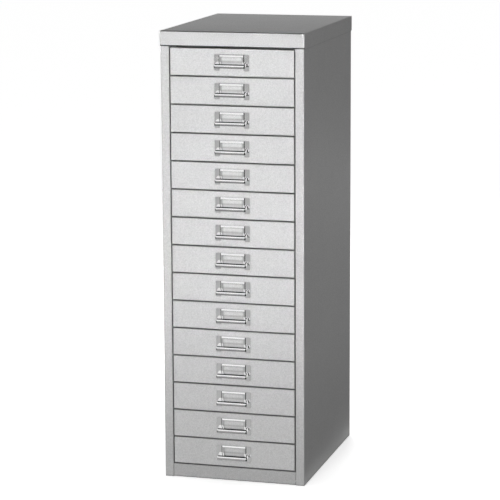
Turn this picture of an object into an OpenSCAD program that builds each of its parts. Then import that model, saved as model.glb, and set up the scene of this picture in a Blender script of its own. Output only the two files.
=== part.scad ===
// Fifteen-drawer steel cabinet for A4 paper, with folded drawers that hang in C-section runners.
// X runs across the front, -Y points out of the drawer fronts and Z up. Millimetres.
// The origin is on the floor, at the middle of the footprint, pulls included.

/* [Cabinet] */
// Width of the cap, the widest part
cap_w = 279; // [270:1:300]
// Depth of the cap from front lip to back lip
cap_d = 380; // [370:1:420]
// Height of the lip that hangs down round the cap
cap_lip_h = 28.5; // [20:0.5:40]
// Sheet of the cap, sides, back, rails and runners
shell_t = 0.8; // [0.6:0.1:1.2]
// Inside radius of the folds
bend_r = 1.2; // [0.4:0.1:2]
// Width of the stile that each side panel folds into at the front
stile_w = 17; // [15:0.5:20]
// Depth of the return behind each stile
stile_return = 11; // [8:0.5:12]
// Width of the flange folded in at the foot of each side panel
foot_flange_w = 15; // [10:1:20]
// Height of the plinth below the bottom drawer
plinth_h = 26; // [20:1:40]
// How far the plinth face stands back from the drawer fronts
plinth_setback = 1.2; // [0:0.2:4]
// Depth of the flanges of the plinth rail and of the rail above the drawers
rail_flange_w = 20; // [14:1:28]
// Height of the rim folded down round the base pan
base_rim_h = 18; // [8:1:24]

/* [Drawers] */
// Height from one drawer to the next
drawer_pitch = 53.5; // [51:0.5:60]
// Gap between one drawer front and the next
front_gap = 2.4; // [1:0.1:3]
// Gap between a drawer front and the stile at its side
side_gap = 1.8; // [1:0.1:2.5]
// Gap between the top drawer front and the cap's lip
top_gap = 2.9; // [1:0.1:5]
// Sheet of the drawer fronts and trays
drawer_t = 0.6; // [0.5:0.1:1]
// Inside radius of the folds of the drawer fronts and trays
drawer_bend_r = 0.6; // [0.3:0.1:1.5]
// Depth of the returns folded back round a drawer front
front_d = 12; // [10:0.5:16]
// Width of the lip folded in behind a drawer front, which the tray is welded to
front_lip_w = 10; // [9:0.5:14]
// Height of a tray
tray_h = 46; // [40:0.5:47]
// Depth of a tray from its front wall to its rear wall
tray_l = 350; // [345:1:355]
// Height of a tray's floor above the lower edge of its front
tray_lift = 2; // [1.5:0.1:2.2]
// How far each hem stops short of a tray's ends
hem_inset = 6; // [2:0.5:10]
// How far a drawer opens before its stops meet
travel = 300; // [200:5:310]

/* [Runners] */
// Width of the ledges that carry a tray
ledge_w = 9; // [7:0.5:12]
// Clear height inside a runner
runner_h = 5; // [4:0.1:5.5]
// Inside radius of a runner's folds
runner_bend_r = 0.6; // [0.2:0.1:1]
// How far the front stop hangs into the runner
stop_drop = 2.4; // [1.5:0.1:2.6]
// Length of the front stop
stop_l = 2; // [1:0.5:6]
// Length of the catch that meets it
catch_l = 3; // [1:0.5:6]

/* [Pull] */
// Width of the label plate
plate_w = 66.5; // [60:0.5:80]
// Height of the label plate
plate_h = 29.5; // [26:0.5:34]
// Sheet of the pull
pull_t = 0.8; // [0.6:0.1:1]
// Radius of the plate's corners
plate_r = 1.2; // [0.4:0.1:3]
// Width of the raised frame that holds a label
frame_w = 49.3; // [45:0.1:54]
// How far the frame stands out from the drawer front
frame_rise = 2; // [1.6:0.1:3]
// Height of the frame's top border
frame_top_w = 3.6; // [2:0.1:6]
// Radius at which the top border leans back, leaving a slot for a card
border_r = 8; // [6:0.5:15]
// Width of the frame's side borders
frame_side_w = 4.3; // [3:0.1:8]
// Inside radius of the frame's folds
frame_bend_r = 1; // [0.2:0.1:2]
// Radius of the window's upper corners
window_r = 2.5; // [0.5:0.1:4]
// Width of the finger cup
cup_w = 59.5; // [50:0.5:60]
// How far the cup stands out from the drawer front
cup_out = 18; // [12:0.5:22]
// Angle at which the cup slopes down from the plate to its front
cup_slope = 15; // [0:1:20]
// Height of the cup's skirt
cup_h = 6.4; // [5.8:0.1:8]
// Height of the cup's lower front edge above the plate's lower edge
cup_lift = 5.7; // [1:0.1:8]
// Outer radius of the cup's upper and upright edges
cup_r = 2.6; // [1.2:0.1:4]
// Outer radius of the cup's lower edges, which are folded inward for the fingers
cup_hem_r = 1.8; // [1.2:0.1:3]
// Width of the edge folded in under the cup
cup_hem_w = 3.2; // [2:0.1:4]
// Height of the tab that fixes each wing through a slot in the drawer front
tab_h = 6; // [4:0.5:10]
// Length of the tab folded over behind the drawer front
tab_l = 5; // [3:0.5:6]

/* [Clearances] */
// Gap between the cap's lip and the side panels
cap_gap = 0.4; // [0.2:0.1:1]
// Gap between seated sheets of the shell
seat_gap = 0.3; // [0.1:0.1:0.5]
// Gap under and over a tray's hem in its runner
run_gap = 0.3; // [0.2:0.1:0.5]
// Gap at each side of a tray
slide_gap = 0.8; // [0.5:0.1:1.5]
// Gap round a pull's tab in its slot
tab_gap = 0.15; // [0.05:0.05:0.3]

/* [Hidden] */
drawer_count = 15;
$fn = 48;
eps = 1;

// Cabinet outline
cap_proud = shell_t + cap_gap;
body_w = cap_w - 2 * cap_proud;
body_d = cap_d - 2 * cap_proud;
stack_top = plinth_h + front_gap / 2 + drawer_count * drawer_pitch;
lip_z = stack_top - front_gap / 2 + top_gap;
cabinet_h = lip_z + cap_lip_h;
shell_r = shell_t + bend_r;

// The footprint runs from the front of the pulls to the back of the cap
face_y = cup_out - (cup_out + cap_d - cap_proud) / 2;
back_y = face_y + body_d;
mid_y = (face_y + back_y) / 2;

// Space between the side panels
side_in_x = body_w / 2 - shell_t;
opening_x = body_w / 2 - stile_w;
side_h = cabinet_h - shell_t;

// Runner racks
rack_x = opening_x + shell_t;
rack_front_y = face_y + front_d + seat_gap;
rack_back_y = back_y - 2 * shell_t - seat_gap;
ledge_x = rack_x - ledge_w;

// Drawers
front_w = 2 * (opening_x - side_gap);
front_h = drawer_pitch - front_gap;
drawer_r = drawer_t + drawer_bend_r;
tray_w = 2 * (ledge_x - slide_gap);
hem_t = 2 * drawer_t;
hem_x = opening_x - slide_gap;
tray_y = face_y + front_d;
tray_top = tray_lift + tray_h;
catch_y = rack_front_y + stop_l + travel + seat_gap;

// Pull. The radius of the frame's folds is limited by how far the frame stands out.
fold_share = 0.95;
window_w = frame_w - 2 * frame_side_w;
frame_fold_r = min(frame_bend_r + pull_t, fold_share * frame_rise);
border_z = plate_h - frame_top_w;

// The cup slopes about the line where its lower edges meet the drawer front, at height cup_root
cup_l = cup_r + (cup_out - cup_r - (cup_h - cup_r) * sin(cup_slope)) / cos(cup_slope);
cup_root = cup_lift + (cup_l - cup_hem_r) * sin(cup_slope) + cup_hem_r * (1 - cos(cup_slope));
window_z = cup_root + cup_h / cos(cup_slope) - frame_rise * tan(cup_slope);
tab_x = frame_w / 2 + pull_t;
tab_z = plate_h / 2;
pull_lift = (front_h - plate_h) / 2;

function two_digits(n) = n < 10 ? str("0", n) : str(n);
function named(part, n) = str(part, "_", two_digits(n));
// Lower edge of drawer front n, counted from the top
function front_z(n) = plinth_h + front_gap + (drawer_count - n) * drawer_pitch;

shell_nodes = ["top_cap", "side_panel_left", "side_panel_right", "back_panel", "base_pan",
    "plinth_rail", "top_rail", "runner_rack_left", "runner_rack_right"];

// A rectangle with round corners, centred
module round_rect(w, l, r) {
    square([w, l - 2 * r], center = true);
    square([w - 2 * r, l], center = true);
    for (sx = [-1, 1], sy = [-1, 1])
        translate([sx * (w / 2 - r), sy * (l / 2 - r)])
            circle(r);
}

// A block on the plane z = 0 whose upright and upper edges are round
module soft_block(w, l, h, r) {
    intersection() {
        linear_extrude(h) round_rect(w, l, r);
        rotate([90, 0, 0])
            linear_extrude(l + 2 * eps, center = true) round_rect(w, 2 * h, r);
        rotate([90, 0, 90])
            linear_extrude(w + 2 * eps, center = true) round_rect(l, 2 * h, r);
    }
}

// A folded pan, open downward, with its skin at z = h
module pan(w, l, h, t, r) {
    difference() {
        soft_block(w, l, h, r);
        translate([0, 0, -eps])
            soft_block(w - 2 * t, l - 2 * t, h - t + eps, r - t);
    }
}

// Section of a folded channel of height h: a web along y = 0 and a flange behind each edge
module channel_section(h, flange, t, r_in) {
    difference() {
        translate([0, flange])
            round_rect(h, 2 * flange, r_in + t);
        translate([0, flange + t])
            round_rect(h - 2 * t, 2 * flange, r_in);
        translate([-h, flange])
            square([2 * h, 2 * flange]);
    }
}

// A channel of folded sheet along X with its face at y = 0
module rail_channel(w, h, flange) {
    translate([0, 0, h / 2])
        rotate([0, 90, 0])
            linear_extrude(w, center = true)
                channel_section(h, flange, shell_t, bend_r);
}

module top_cap() {
    color("silver")
        translate([0, mid_y, lip_z])
            pan(cap_w, cap_d, cap_lip_h, shell_t, shell_r);
}

// The right side panel: a skin folded round into a stile, a rear and a top flange and a foot
module side_panel() {
    stile_h = side_h - shell_r;
    difference() {
        translate([0, mid_y, 0])
            pan(body_w, body_d, side_h, shell_t, shell_r);
        translate([opening_x - cap_w, face_y - eps, -eps])
            cube([cap_w, body_d + 2 * eps, side_h + 2 * eps]);
        translate([0, face_y - eps, -eps])
            cube([cap_w, stile_return + eps, stile_h + eps]);
    }
    translate([opening_x + stile_w / 2, face_y, 0])
        linear_extrude(stile_h)
            channel_section(stile_w, stile_return, shell_t, bend_r);
    translate([side_in_x - foot_flange_w, face_y + stile_return, 0])
        cube([foot_flange_w + shell_t / 2, rack_back_y - face_y - stile_return, shell_t]);
}

module back_panel() {
    back_x = side_in_x - bend_r;
    color("silver")
        translate([-back_x, back_y - 2 * shell_t, 0])
            cube([2 * back_x, shell_t, side_h - shell_r]);
}

module base_pan() {
    pan_y = face_y + stile_return + seat_gap;
    pan_l = rack_back_y - pan_y;
    color("silver")
        translate([0, pan_y + pan_l / 2, plinth_h - shell_t - base_rim_h])
            pan(2 * (side_in_x - seat_gap), pan_l, base_rim_h, shell_t, shell_r);
}

module plinth_rail() {
    color("silver")
        translate([0, face_y + plinth_setback, 0])
            rail_channel(2 * (opening_x - seat_gap), plinth_h, rail_flange_w);
}

module top_rail() {
    color("silver")
        translate([0, face_y, lip_z])
            rail_channel(2 * (opening_x - seat_gap), side_h - seat_gap - lip_z, rail_flange_w);
}

// The right runner rack: a rear-flanged panel with one C-section runner for each drawer
module runner_rack() {
    panel_z = plinth_h - shell_t;
    panel_h = side_h - shell_t - panel_z;
    translate([rack_x, face_y + shell_r, panel_z])
        cube([shell_t, rack_back_y - face_y - shell_r, panel_h]);
    translate([rack_x, rack_back_y - shell_t, panel_z])
        cube([side_in_x - rack_x - bend_r, shell_t, panel_h]);
    for (n = [1 : drawer_count])
        translate([rack_x, rack_front_y, front_z(n) + tray_top - hem_t - run_gap])
            runner();
}

// A runner, welded to its rack at x = 0, with the ledge that carries a hem at z = 0
module runner() {
    translate([0, 0, runner_h / 2])
        rotate([-90, 90, 0])
            linear_extrude(rack_back_y - rack_front_y)
                channel_section(runner_h + 2 * shell_t, ledge_w, shell_t, runner_bend_r);
    translate([-ledge_w, 0, runner_h - stop_drop])
        cube([ledge_w / 2, stop_l, stop_drop + shell_t / 2]);
}

// A drawer front: a shallow pan with its skin to the front, a lip round its back and two slots
module drawer_front(n) {
    color("lightgray")
        difference() {
            translate([0, tray_y, front_z(n) + front_h / 2])
                rotate([90, 0, 0])
                    front_pan();
            translate([0, face_y, front_z(n) + pull_lift])
                for (side = [0, 1])
                    mirror([side, 0, 0])
                        tab_slot();
        }
}

module front_pan() {
    pan(front_w, front_h, front_d, drawer_t, drawer_r);
    linear_extrude(drawer_t)
        difference() {
            square([front_w - drawer_t, front_h - drawer_t], center = true);
            square([front_w - 2 * front_lip_w, front_h - 2 * front_lip_w], center = true);
        }
}

// The slot for the tab of the right wing, in the pull's own frame
module tab_slot() {
    translate([tab_x - tab_gap, -eps, tab_z - tab_h / 2 - tab_gap])
        cube([pull_t + 2 * tab_gap, drawer_t + 2 * eps, tab_h + 2 * tab_gap]);
}

// A tray hangs by the hems along its sides. A catch on each hem meets the runner's front stop.
module drawer_tray(n) {
    color("gainsboro")
        translate([0, tray_y, front_z(n) + tray_lift]) {
            translate([0, tray_l / 2, tray_h])
                rotate([180, 0, 0])
                    pan(tray_w, tray_l, tray_h, drawer_t, drawer_r);
            for (side = [0, 1])
                mirror([side, 0, 0])
                    tray_hem();
        }
}

// The right hem, folded over with a round edge, and its catch
module tray_hem() {
    hem_w = hem_x - tray_w / 2;
    translate([0, tray_l - hem_inset, tray_h - hem_t / 2])
        rotate([90, 0, 0])
            linear_extrude(tray_l - 2 * hem_inset) {
                translate([tray_w / 2 - drawer_t / 2, -hem_t / 2])
                    square([hem_w + drawer_t / 2 - hem_t / 2, hem_t]);
                translate([hem_x - hem_t / 2, 0])
                    circle(hem_t / 2);
            }
    translate([ledge_x + slide_gap / 2, catch_y - tray_y, tray_h - hem_t])
        cube([ledge_w / 2 - slide_gap, catch_l, runner_h - 2 * run_gap]);
}

// A pull in its own frame: the drawer front is y = 0, the plate's lower edge z = 0
module pull() {
    label_plate();
    finger_cup();
    for (side = [0, 1])
        mirror([side, 0, 0])
            fixing_tab();
}

// The plate: two wings and a raised frame. The cup's upper side closes the window below.
module label_plate() {
    difference() {
        intersection() {
            union() {
                wings();
                translate([0, 0, window_z - pull_t / 4])
                    linear_extrude(border_z - window_z + pull_t / 4)
                        frame_section();
                translate([0, 0, border_z])
                    frame_top();
            }
            upright(plate_h / 2)
                round_rect(plate_w, plate_h, plate_r);
        }
        upright(window_z)
            round_rect(window_w, 2 * (border_z - window_z), window_r);
    }
}

module wings() {
    linear_extrude(plate_h)
        for (side = [0, 1])
            mirror([side, 0])
                translate([frame_w / 2 - pull_t, -pull_t])
                    square([plate_w / 2 - frame_w / 2 + pull_t, pull_t]);
}

// The frame in plan: its face at y = -frame_rise and a wall folded back at each side
module frame_section() {
    difference() {
        round_rect(frame_w, 2 * frame_rise, frame_fold_r);
        round_rect(frame_w - 2 * pull_t, 2 * (frame_rise - pull_t), frame_fold_r - pull_t);
        translate([-frame_w, 0])
            square([2 * frame_w, 2 * frame_rise]);
    }
}

// The frame above its window: the walls go straight up and the face between them leans back
module frame_top() {
    lip_w = frame_w - 2 * frame_fold_r;
    linear_extrude(frame_top_w)
        difference() {
            frame_section();
            square([lip_w, 4 * frame_rise], center = true);
        }
    translate([-lip_w / 2, -frame_rise, 0])
        intersection() {
            cube([lip_w, frame_rise, frame_top_w]);
            translate([0, border_r, 0])
                rotate([0, 90, 0])
                    difference() {
                        cylinder(lip_w, r = border_r);
                        translate([0, 0, -eps])
                            cylinder(lip_w + 2 * eps, r = border_r - pull_t);
                    }
        }
}

// Sweeps an outline in X and Z, centred at height z, through the whole depth of a pull
module upright(z) {
    translate([0, 0, z])
        rotate([90, 0, 0])
            linear_extrude(4 * cup_out, center = true)
                children();
}

// The tab of the right wing: through its slot, then folded outward behind the drawer front
module fixing_tab() {
    translate([tab_x, -pull_t / 2, tab_z - tab_h / 2]) {
        cube([pull_t, pull_t / 2 + drawer_t + pull_t, tab_h]);
        translate([0, pull_t / 2 + drawer_t, 0])
            cube([tab_l, pull_t, tab_h]);
    }
}

// The cup: a sloping hood, skirted at its front and ends and folded in below, open to the fingers
module finger_cup() {
    mouth_w = cup_w - 2 * cup_hem_w;
    mouth_l = 2 * (cup_l - cup_hem_w);
    translate([0, 0, cup_root])
        difference() {
            rotate([cup_slope, 0, 0])
                difference() {
                    cup_block(cup_w, 2 * cup_l, cup_h, 0);
                    translate([0, 0, pull_t])
                        cup_block(cup_w - 2 * pull_t, 2 * (cup_l - pull_t), cup_h - 2 * pull_t, pull_t);
                    translate([-mouth_w / 2, -mouth_l / 2, -eps])
                        cube([mouth_w, mouth_l, cup_h / 2 + eps]);
                }
            translate([-cup_w, 0, -cup_out])
                cube([2 * cup_w, 2 * cup_out, 3 * cup_out]);
        }
}

// A block on the plane z = 0 with the round edges of the cup, inset by t
module cup_block(w, l, h, t) {
    intersection() {
        linear_extrude(h)
            round_rect(w, l, cup_r - t);
        rotate([90, 0, 0])
            linear_extrude(l + 2 * eps, center = true)
                cup_outline(w, h, t);
        rotate([90, 0, 90])
            linear_extrude(w + 2 * eps, center = true)
                cup_outline(l, h, t);
    }
}

module cup_outline(w, h, t) {
    intersection() {
        round_rect(w, 2 * h, cup_r - t);
        translate([0, h])
            round_rect(w, 2 * h, cup_hem_r - t);
    }
}

module drawer_pull(n) {
    color("white")
        translate([0, face_y, front_z(n) + pull_lift])
            pull();
}

top_cap();
color("silver") side_panel();  // side_panel_right
color("silver") mirror([1, 0, 0]) side_panel();  // side_panel_left
back_panel();
base_pan();
plinth_rail();
top_rail();
color("darkgray") runner_rack();  // runner_rack_right
color("darkgray") mirror([1, 0, 0]) runner_rack();  // runner_rack_left
for (n = [1 : drawer_count]) {
    drawer_front(n);
    drawer_tray(n);
    drawer_pull(n);
}
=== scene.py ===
"""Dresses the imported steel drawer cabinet: paint, chrome, floor, studio light and camera. Metres."""
from math import cos, radians, sin

import bpy
from mathutils import Matrix, Vector

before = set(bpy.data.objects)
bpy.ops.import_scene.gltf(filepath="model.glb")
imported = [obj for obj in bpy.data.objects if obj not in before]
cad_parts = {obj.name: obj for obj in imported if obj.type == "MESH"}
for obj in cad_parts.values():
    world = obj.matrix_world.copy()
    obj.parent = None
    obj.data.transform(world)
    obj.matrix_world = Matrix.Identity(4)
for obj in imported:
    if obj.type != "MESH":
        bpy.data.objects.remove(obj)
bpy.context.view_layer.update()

DRAWERS = 15

# The photograph's view: angles in degrees, the rest in metres, on a 36 mm sensor
VIEW_AZIMUTH = 15.76
VIEW_ELEVATION = 10.85
VIEW_ROLL = -0.29
VIEW_DISTANCE = 4.478
VIEW_TARGET = Vector((-0.0197, 0.0084, 0.4143))
LENS_MM = 164.3
SENSOR_MM = 36.0

# Tones of the paints, where 1 is white, and how much painted shade takes from the shell's tone at its
# foot
SHELL_TONE = 0.598
DRAWER_TONE = 0.622
# The plinth's tone is set below the shell's, as painted shade on the set-back rail at the foot
PLINTH_SHADED_TONE = 0.5
TRAY_TONE = 0.58
INNER_TONE = 0.45
FOOT_SHADE = 0.12

# Heights between which the painted shade at the foot fades out
FOOT_LOW = 0.06
FOOT_HIGH = 0.24

# Grain of the paint: noise scales per metre, and how far each moves the tone or the roughness
DRIFT_SCALE = 9.0
DRIFT_TONE = 0.02
MOTTLE_SCALE = 540.0
GRAIN_SCALE = 2600.0
FLAKE_TONE = 0.16
MATT_SCALE = 60.0
MATT_SPAN = 0.05
PAINT_ROUGHNESS = 0.5
INNER_ROUGHNESS = 0.55
PAINT_SPECULAR = 0.25

# Orange peel in the paint
PEEL_SCALE = 700.0
PEEL_STRENGTH = 0.25
PEEL_HEIGHT = 0.00004

# Painted shade in narrow gaps: how near the other face is, and the share of the tone that is left deep
# in one
CREVICE_SHADE_REACH = 0.004
CREVICE_SHADE_LEVEL = 0.15

# Painted dark lines on the front of the cap, a painted dark reflection on its upper fold and painted
# shade on its lip's lower edge: the Z of the normals on its upper fold, the width of the line on its
# lip's lower edge, the Y below which a normal faces the front, and the share of the tone left
FOLD_LOW = 0.31
FOLD_HIGH = 0.99
LINE_WIDTH = 0.0019
FRONT_FACING = -0.1
LINE_LEVEL = 0.08

# Chrome: its level on open faces and, as painted shade, on faces that look down, and the Z of the
# normals where the one turns to the other
CHROME_LEVEL = 0.9
CHROME_SHADED_UNDER = 0.15
UNDER_FULL = -0.5
UNDER_NONE = -0.2

# Finish of the chrome: streaks in its roughness, and slow waves in the pressed sheet
STREAK_SCALE = 400.0
STREAK_LOW = 0.03
STREAK_HIGH = 0.07
WAVE_SCALE = 60.0
WAVE_STRENGTH = 0.3
WAVE_HEIGHT = 0.0006

# How far back from the front of a pull's cup its upper edge rolls over, and by how much
ROLL_DEPTH = 0.0053
ROLL_DROP = 0.003

# The cup's ends: how deep the cup is in front of the label frame, the X from which a normal belongs
# to an end, and how far that normal is turned up, as on a rolled edge
CUP_PROUD = 0.013
END_FACING = 0.7
END_LIFT = 1.0

# Studio, with levels where 1 is white. The floor glows less near the cabinet, as a painted soft shadow,
# and least where a wall meets it and hides half of its view
AMBIENT = 0.16
FLOOR_SIZE = 40.0
FLOOR_GLOW = 0.85
FLOOR_PALE = 0.90
FLOOR_DULL = 0.25
SHADOW_GLOW = 0.6
SHADOW_REACH = 0.12
HALF_OPEN = 0.5
CARD_GREY = 0.45
CARD_BLACK = 0.02
CARD_LIFT = 0.004


def drawer_names(part):
    """The CAD nodes of that part in every drawer, from the top down."""
    return [f"{part}_{n:02d}" for n in range(1, DRAWERS + 1)]


def lowest(name, axis):
    """The lowest coordinate of a CAD node at rest, along axis 0, 1 or 2."""
    return min(vertex.co[axis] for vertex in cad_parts[name].data.vertices)


CUP_FRONT = lowest("drawer_pull_01", 1)
CAP_EDGE = lowest("top_cap", 2)


# Shader helpers

def new_tree(owner, output_kind):
    """Empties the owner's node tree and gives it an output node."""
    owner.use_nodes = True
    owner.node_tree.nodes.clear()
    return owner.node_tree.nodes.new(output_kind)


def new_material(name):
    """An empty node material and its output node."""
    mat = bpy.data.materials.new(name)
    return mat, new_tree(mat, "ShaderNodeOutputMaterial")


def node(owner, kind, values=None, **settings):
    """A new node. values go to its inputs by name, and settings are its own properties."""
    made = owner.node_tree.nodes.new(kind)
    for key, value in settings.items():
        setattr(made, key, value)
    for key, value in (values or {}).items():
        made.inputs[key].default_value = value
    return made


def join(owner, source, target):
    owner.node_tree.links.new(source, target)


def maths(owner, operation, *terms):
    """The output of a Math node on sockets or plain numbers."""
    made = node(owner, "ShaderNodeMath", operation=operation)
    for socket, term in zip(made.inputs, terms):
        if isinstance(term, (int, float)):
            socket.default_value = term
        else:
            join(owner, term, socket)
    return made.outputs[0]


def within(owner, value, low, high):
    """1 where value lies from low to high, else 0."""
    return maths(owner, "COMPARE", value, (low + high) / 2, (high - low) / 2)


def remap(owner, value, low, high, start=0.0, end=1.0):
    """Maps start..end to low..high."""
    made = node(owner, "ShaderNodeMapRange",
                values={"From Min": start, "From Max": end, "To Min": low, "To Max": high})
    join(owner, value, made.inputs["Value"])
    return made.outputs["Result"]


def grey(value):
    return (value, value, value, 1.0)


def grey_output(mat, level):
    """A grey colour whose level comes from a socket."""
    made = node(mat, "ShaderNodeCombineColor")
    for channel in ("Red", "Green", "Blue"):
        join(mat, level, made.inputs[channel])
    return made.outputs["Color"]


def parts_of(mat, vector):
    """The X, Y and Z outputs of a vector."""
    split = node(mat, "ShaderNodeSeparateXYZ")
    join(mat, vector, split.inputs["Vector"])
    return split.outputs["X"], split.outputs["Y"], split.outputs["Z"]


def place_on(mat):
    """The place on the piece, which is its place in the frame at rest."""
    return node(mat, "ShaderNodeTexCoord").outputs["Object"]


def facing(mat):
    """The face's normal."""
    return node(mat, "ShaderNodeNewGeometry").outputs["Normal"]


def turned_up(mat, normal, lift):
    """That normal, turned up by adding lift to its Z."""
    rise = node(mat, "ShaderNodeCombineXYZ")
    join(mat, lift, rise.inputs["Z"])
    total = node(mat, "ShaderNodeVectorMath", operation="ADD")
    join(mat, normal, total.inputs[0])
    join(mat, rise.outputs["Vector"], total.inputs[1])
    unit = node(mat, "ShaderNodeVectorMath", operation="NORMALIZE")
    join(mat, total.outputs["Vector"], unit.inputs[0])
    return unit.outputs["Vector"]


def noise(mat, place, scale, detail):
    made = node(mat, "ShaderNodeTexNoise", values={"Scale": scale, "Detail": detail})
    join(mat, place, made.inputs["Vector"])
    return made.outputs["Fac"]


def bump(mat, height, strength, distance, normal=None):
    made = node(mat, "ShaderNodeBump", values={"Strength": strength, "Distance": distance})
    join(mat, height, made.inputs["Height"])
    if normal is not None:
        join(mat, normal, made.inputs["Normal"])
    return made.outputs["Normal"]


def openness(mat, reach, samples):
    """1 in the open, falling where other faces lie within reach."""
    values = {"Distance": reach}
    return node(mat, "ShaderNodeAmbientOcclusion", values=values, samples=samples).outputs["AO"]


def plain_view(owner):
    """1 for camera, glossy and transmission rays, 0 for the rest."""
    rays = node(owner, "ShaderNodeLightPath").outputs
    mirror = maths(owner, "MAXIMUM", rays["Is Glossy Ray"], rays["Is Transmission Ray"])
    return maths(owner, "MAXIMUM", rays["Is Camera Ray"], mirror)


# Materials

def cap_painted_lines(mat, height):
    """LINE_LEVEL along the front of the cap, as a painted dark reflection on its upper fold and painted
    shade on its lip's lower edge, else 1.
    """
    _, facing_y, facing_z = parts_of(mat, facing(mat))
    fold = within(mat, facing_z, FOLD_LOW, FOLD_HIGH)
    edge = within(mat, height, CAP_EDGE, CAP_EDGE + LINE_WIDTH)
    front = maths(mat, "LESS_THAN", facing_y, FRONT_FACING)
    line = maths(mat, "MULTIPLY", maths(mat, "MAXIMUM", fold, edge), front)
    return remap(mat, line, 1.0, LINE_LEVEL)


def paint(name, tone, roughness=PAINT_ROUGHNESS, foot_shade=0.0, lines=False):
    """Silver-grey stove paint: fine metal flake, orange peel, a slow drift of tone, painted shade in
    narrow gaps, painted shade darker towards the foot and the cap's painted lines.
    """
    mat, out = new_material(name)
    shader = node(mat, "ShaderNodeBsdfPrincipled", values={"Specular IOR Level": PAINT_SPECULAR})
    place = place_on(mat)
    height = parts_of(mat, place)[2]
    drift = remap(mat, noise(mat, place, DRIFT_SCALE, detail=3.0), -DRIFT_TONE, DRIFT_TONE)
    mottle = remap(mat, noise(mat, place, MOTTLE_SCALE, detail=2.0), -FLAKE_TONE, FLAKE_TONE)
    grain = remap(mat, noise(mat, place, GRAIN_SCALE, detail=1.0), -FLAKE_TONE, FLAKE_TONE)
    level = maths(mat, "ADD", maths(mat, "ADD", drift, mottle), maths(mat, "ADD", grain, tone))
    # Painted shade: the tone darkens where other faces are near, as in the gaps between parts
    crevice_shade = remap(mat, openness(mat, CREVICE_SHADE_REACH, samples=8), CREVICE_SHADE_LEVEL, 1.0)
    level = maths(mat, "MULTIPLY", level, crevice_shade)
    # Painted shade: the shell gets darker towards the bottom
    if foot_shade:
        unshaded = remap(mat, height, 1.0 - foot_shade, 1.0, FOOT_LOW, FOOT_HIGH)
        level = maths(mat, "MULTIPLY", level, unshaded)
    # Painted dark reflection and painted shade along the cap's front
    if lines:
        level = maths(mat, "MULTIPLY", level, cap_painted_lines(mat, height))
    join(mat, grey_output(mat, level), shader.inputs["Base Color"])
    matt = noise(mat, place, MATT_SCALE, detail=3.0)
    rough = remap(mat, matt, roughness - MATT_SPAN, roughness + MATT_SPAN)
    join(mat, rough, shader.inputs["Roughness"])
    peel = noise(mat, place, PEEL_SCALE, detail=1.0)
    join(mat, bump(mat, peel, PEEL_STRENGTH, PEEL_HEIGHT), shader.inputs["Normal"])
    join(mat, shader.outputs["BSDF"], out.inputs["Surface"])
    return mat


def chrome_normal(mat, place, normal):
    """The chrome's normal, with the cup's ends and front edge rolled and waves all over."""
    depth = parts_of(mat, place)[1]
    sideways = maths(mat, "ABSOLUTE", parts_of(mat, normal)[0])
    end = maths(mat, "MULTIPLY", maths(mat, "GREATER_THAN", sideways, END_FACING),
                maths(mat, "LESS_THAN", depth, CUP_FRONT + CUP_PROUD))
    ends_up = turned_up(mat, normal, maths(mat, "MULTIPLY", end, END_LIFT))
    behind = remap(mat, depth, 0.0, 1.0, CUP_FRONT, CUP_FRONT + ROLL_DEPTH)
    rolled = bump(mat, behind, 1.0, ROLL_DROP, ends_up)
    waves = noise(mat, place, WAVE_SCALE, detail=1.0)
    return bump(mat, waves, WAVE_STRENGTH, WAVE_HEIGHT, rolled)


def chrome(name):
    """Bright plate over a pressing: mirror finish with the slow waves of thin pressed sheet, and
    painted shade on its undersides.
    """
    mat, out = new_material(name)
    shader = node(mat, "ShaderNodeBsdfPrincipled", values={"Metallic": 1.0})
    place = place_on(mat)
    normal = facing(mat)
    # Painted shade: the plate is darker on faces that look down, as under the cup
    plated_and_shaded = remap(mat, parts_of(mat, normal)[2], CHROME_SHADED_UNDER, CHROME_LEVEL, UNDER_FULL, UNDER_NONE)
    join(mat, grey_output(mat, plated_and_shaded), shader.inputs["Base Color"])
    rough = remap(mat, noise(mat, place, STREAK_SCALE, detail=3.0), STREAK_LOW, STREAK_HIGH)
    join(mat, rough, shader.inputs["Roughness"])
    join(mat, chrome_normal(mat, place, normal), shader.inputs["Normal"])
    join(mat, shader.outputs["BSDF"], out.inputs["Surface"])
    return mat


def floor_material(name):
    """Pale floor: white where it is seen, with the lit shadow kept and a painted soft shadow near the
    cabinet, and duller as a bounce.
    """
    mat, out = new_material(name)
    glow = node(mat, "ShaderNodeEmission", values={"Color": grey(1.0)})
    # Painted contact shadow: the floor's glow falls where the cabinet is near
    view = openness(mat, SHADOW_REACH, samples=16)
    strength = remap(mat, view, SHADOW_GLOW, FLOOR_GLOW, HALF_OPEN, 1.0)
    join(mat, strength, glow.inputs["Strength"])
    pale = node(mat, "ShaderNodeBsdfDiffuse", values={"Color": grey(FLOOR_PALE)})
    seen = node(mat, "ShaderNodeAddShader")
    join(mat, glow.outputs[0], seen.inputs[0])
    join(mat, pale.outputs[0], seen.inputs[1])
    dull = node(mat, "ShaderNodeBsdfDiffuse", values={"Color": grey(FLOOR_DULL)})
    mix = node(mat, "ShaderNodeMixShader")
    join(mat, plain_view(mat), mix.inputs[0])
    join(mat, dull.outputs[0], mix.inputs[1])
    join(mat, seen.outputs[0], mix.inputs[2])
    join(mat, mix.outputs[0], out.inputs["Surface"])
    return mat


def card_material(name, level):
    mat, out = new_material(name)
    face = node(mat, "ShaderNodeEmission", values={"Color": grey(1.0), "Strength": level})
    join(mat, face.outputs[0], out.inputs["Surface"])
    return mat


# Setting

def make_world():
    """White where it is seen, and a soft ambient grey as light."""
    world = bpy.data.worlds.new("studio")
    bpy.context.scene.world = world
    out = new_tree(world, "ShaderNodeOutputWorld")
    sky = node(world, "ShaderNodeBackground", values={"Color": grey(1.0)})
    join(world, remap(world, plain_view(world), AMBIENT, 1.0), sky.inputs["Strength"])
    join(world, sky.outputs[0], out.inputs["Surface"])


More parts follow.
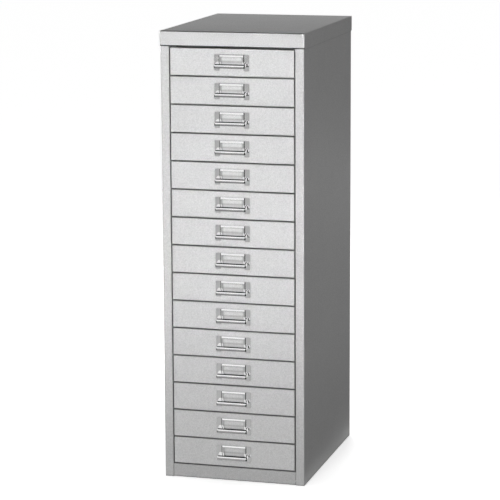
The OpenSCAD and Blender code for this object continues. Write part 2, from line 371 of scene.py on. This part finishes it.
def rectangle(x0, y0, x1, y1):
    """The corners of a rectangle on the floor plan."""
    return [(x0, y0), (x1, y0), (x1, y1), (x0, y1)]


def stage_sheet(name, corners, mat):
    """A flat piece of the setting, which isn't part of the cabinet."""
    mesh = bpy.data.meshes.new(name)
    mesh.from_pydata(corners, [], [tuple(range(len(corners)))])
    mesh.materials.append(mat)
    sheet = bpy.data.objects.new(name, mesh)
    bpy.context.scene.collection.objects.link(sheet)
    return sheet


def make_floor():
    half = FLOOR_SIZE / 2
    corners = [(x, y, 0.0) for x, y in rectangle(-half, -half, half, half)]
    stage_sheet("floor", corners, floor_material("floor_pale"))


def reflected_card(name, corners, level):
    """A studio card that only shows in what the metal mirrors."""
    card = stage_sheet(name, corners, card_material(name, level))
    card.visible_camera = False
    card.visible_diffuse = False
    card.visible_transmission = False
    card.visible_volume_scatter = False
    card.visible_shadow = False


def flat_card(name, plan, height, level):
    """A level card with that outline on the floor plan."""
    reflected_card(name, [(x, y, height) for x, y in plan], level)


def upright_card(name, start, end, low, high):
    """A black card from height low to high, between two points of the floor plan."""
    (x0, y0), (x1, y1) = start, end
    reflected_card(name, [(x0, y0, low), (x1, y1, low), (x1, y1, high), (x0, y0, high)], CARD_BLACK)


def make_floor_cards():
    """Cards just above the floor: a grey sector in front, between black ones at both sides."""
    near, far, rear = -0.25, -9.0, 3.0
    side, wide = 0.16, 12.0
    grey_right, grey_left_near, grey_left_far = 0.02, -0.05, -6.3
    front = [(grey_right, near), (grey_right, far), (grey_left_far, far), (grey_left_near, near)]
    right = [(grey_right, near), (side, near), (side, rear), (wide, rear), (wide, far),
             (grey_right, far)]
    left = [(grey_left_near, near), (grey_left_far, far), (-wide, far), (-wide, rear),
            (-side, rear), (-side, near)]
    flat_card("card_front", front, CARD_LIFT, CARD_GREY)
    flat_card("card_right", right, CARD_LIFT, CARD_BLACK)
    flat_card("card_left", left, CARD_LIFT, CARD_BLACK)


def make_high_cards():
    """Black cards overhead, at both sides, at the far right and behind the cabinet."""
    flat_card("card_sky", rectangle(-2.5, -2.3, 2.5, 0.6), 2.46, CARD_BLACK)
    upright_card("card_far_right", (0.02, -9.0), (9.0, -9.0), low=0.0, high=2.2)
    upright_card("card_side_right", (9.0, -9.0), (9.0, 0.5), low=0.0, high=2.2)
    upright_card("card_side_left", (-9.0, -6.0), (-9.0, 2.0), low=0.0, high=1.8)
    upright_card("card_back", (-2.4, 1.6), (1.6, 1.6), low=0.4, high=2.6)


def area_light(name, place, aim, size, power, spread=180.0):
    """A softbox at place, facing aim. The metal mirrors the cards and not the lamp."""
    data = bpy.data.lights.new(name, "AREA")
    data.shape = "RECTANGLE"
    data.size, data.size_y = size
    data.spread = radians(spread)
    data.energy = power
    lamp = bpy.data.objects.new(name, data)
    lamp.location = Vector(place)
    lamp.rotation_euler = (Vector(aim) - Vector(place)).to_track_quat("-Z", "Y").to_euler()
    lamp.visible_camera = False
    lamp.visible_glossy = False
    bpy.context.scene.collection.objects.link(lamp)


def make_lights():
    """A key far in front with three narrow lamps, a fill at the right side and one lamp behind."""
    front = -3.5
    area_light("key", (0.0, front, 0.9), aim=(0.0, 0.0, 0.6), size=(1.0, 1.0), power=70.0)
    for stand, power in ((0.45, 0.85), (0.8, 0.45), (1.0, 1.15)):
        area_light("grid", (0.0, front, stand), aim=(0.0, 0.0, stand), size=(1.6, 0.3), power=power,
                   spread=14.0)
    area_light("fill", (2.6, 0.1, 0.4), aim=(0.14, 0.0, 0.3), size=(0.6, 0.6), power=6.9)
    area_light("rear", (-0.6, 1.8, 1.9), aim=(0.0, 0.1, 0.7), size=(1.2, 1.2), power=26.0)


def make_camera():
    az, el, roll = radians(VIEW_AZIMUTH), radians(VIEW_ELEVATION), radians(VIEW_ROLL)
    back = Vector((sin(az) * cos(el), -cos(az) * cos(el), sin(el)))
    right = Vector((cos(az), sin(az), 0.0))
    up = back.cross(right)
    right_rolled = right * cos(roll) + up * sin(roll)
    up_rolled = up * cos(roll) - right * sin(roll)
    data = bpy.data.cameras.new("camera")
    data.lens = LENS_MM
    data.sensor_width = SENSOR_MM
    camera = bpy.data.objects.new("camera", data)
    turn = Matrix((right_rolled, up_rolled, back)).transposed().to_4x4()
    camera.matrix_world = Matrix.Translation(VIEW_TARGET + back * VIEW_DISTANCE) @ turn
    bpy.context.scene.collection.objects.link(camera)
    bpy.context.scene.camera = camera


# The dressed cabinet

def dress(names, mat):
    """Gives those CAD nodes that material alone."""
    for name in names:
        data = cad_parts[name].data
        data.materials.clear()
        data.materials.append(mat)


shell_paint = paint("shell_paint", SHELL_TONE, foot_shade=FOOT_SHADE)
cap_paint = paint("cap_paint", SHELL_TONE, lines=True)
drawer_paint = paint("drawer_paint", DRAWER_TONE)
# Same paint as the shell, with its tone lowered as painted shade
plinth_paint = paint("plinth_paint", PLINTH_SHADED_TONE)
tray_paint = paint("tray_paint", TRAY_TONE)
inner_paint = paint("inner_paint", INNER_TONE, INNER_ROUGHNESS)
plate = chrome("chrome")

dress(["top_cap"], cap_paint)
dress(["side_panel_left", "side_panel_right", "back_panel", "top_rail"], shell_paint)
dress(["plinth_rail"], plinth_paint)
dress(["base_pan", "runner_rack_left", "runner_rack_right"], inner_paint)
dress(drawer_names("drawer_front"), drawer_paint)
dress(drawer_names("drawer_tray"), tray_paint)
dress(drawer_names("drawer_pull"), plate)

make_camera()
make_world()
make_floor()
make_floor_cards()
make_high_cards()
make_lights()

bpy.context.scene.view_settings.view_transform = "Standard"
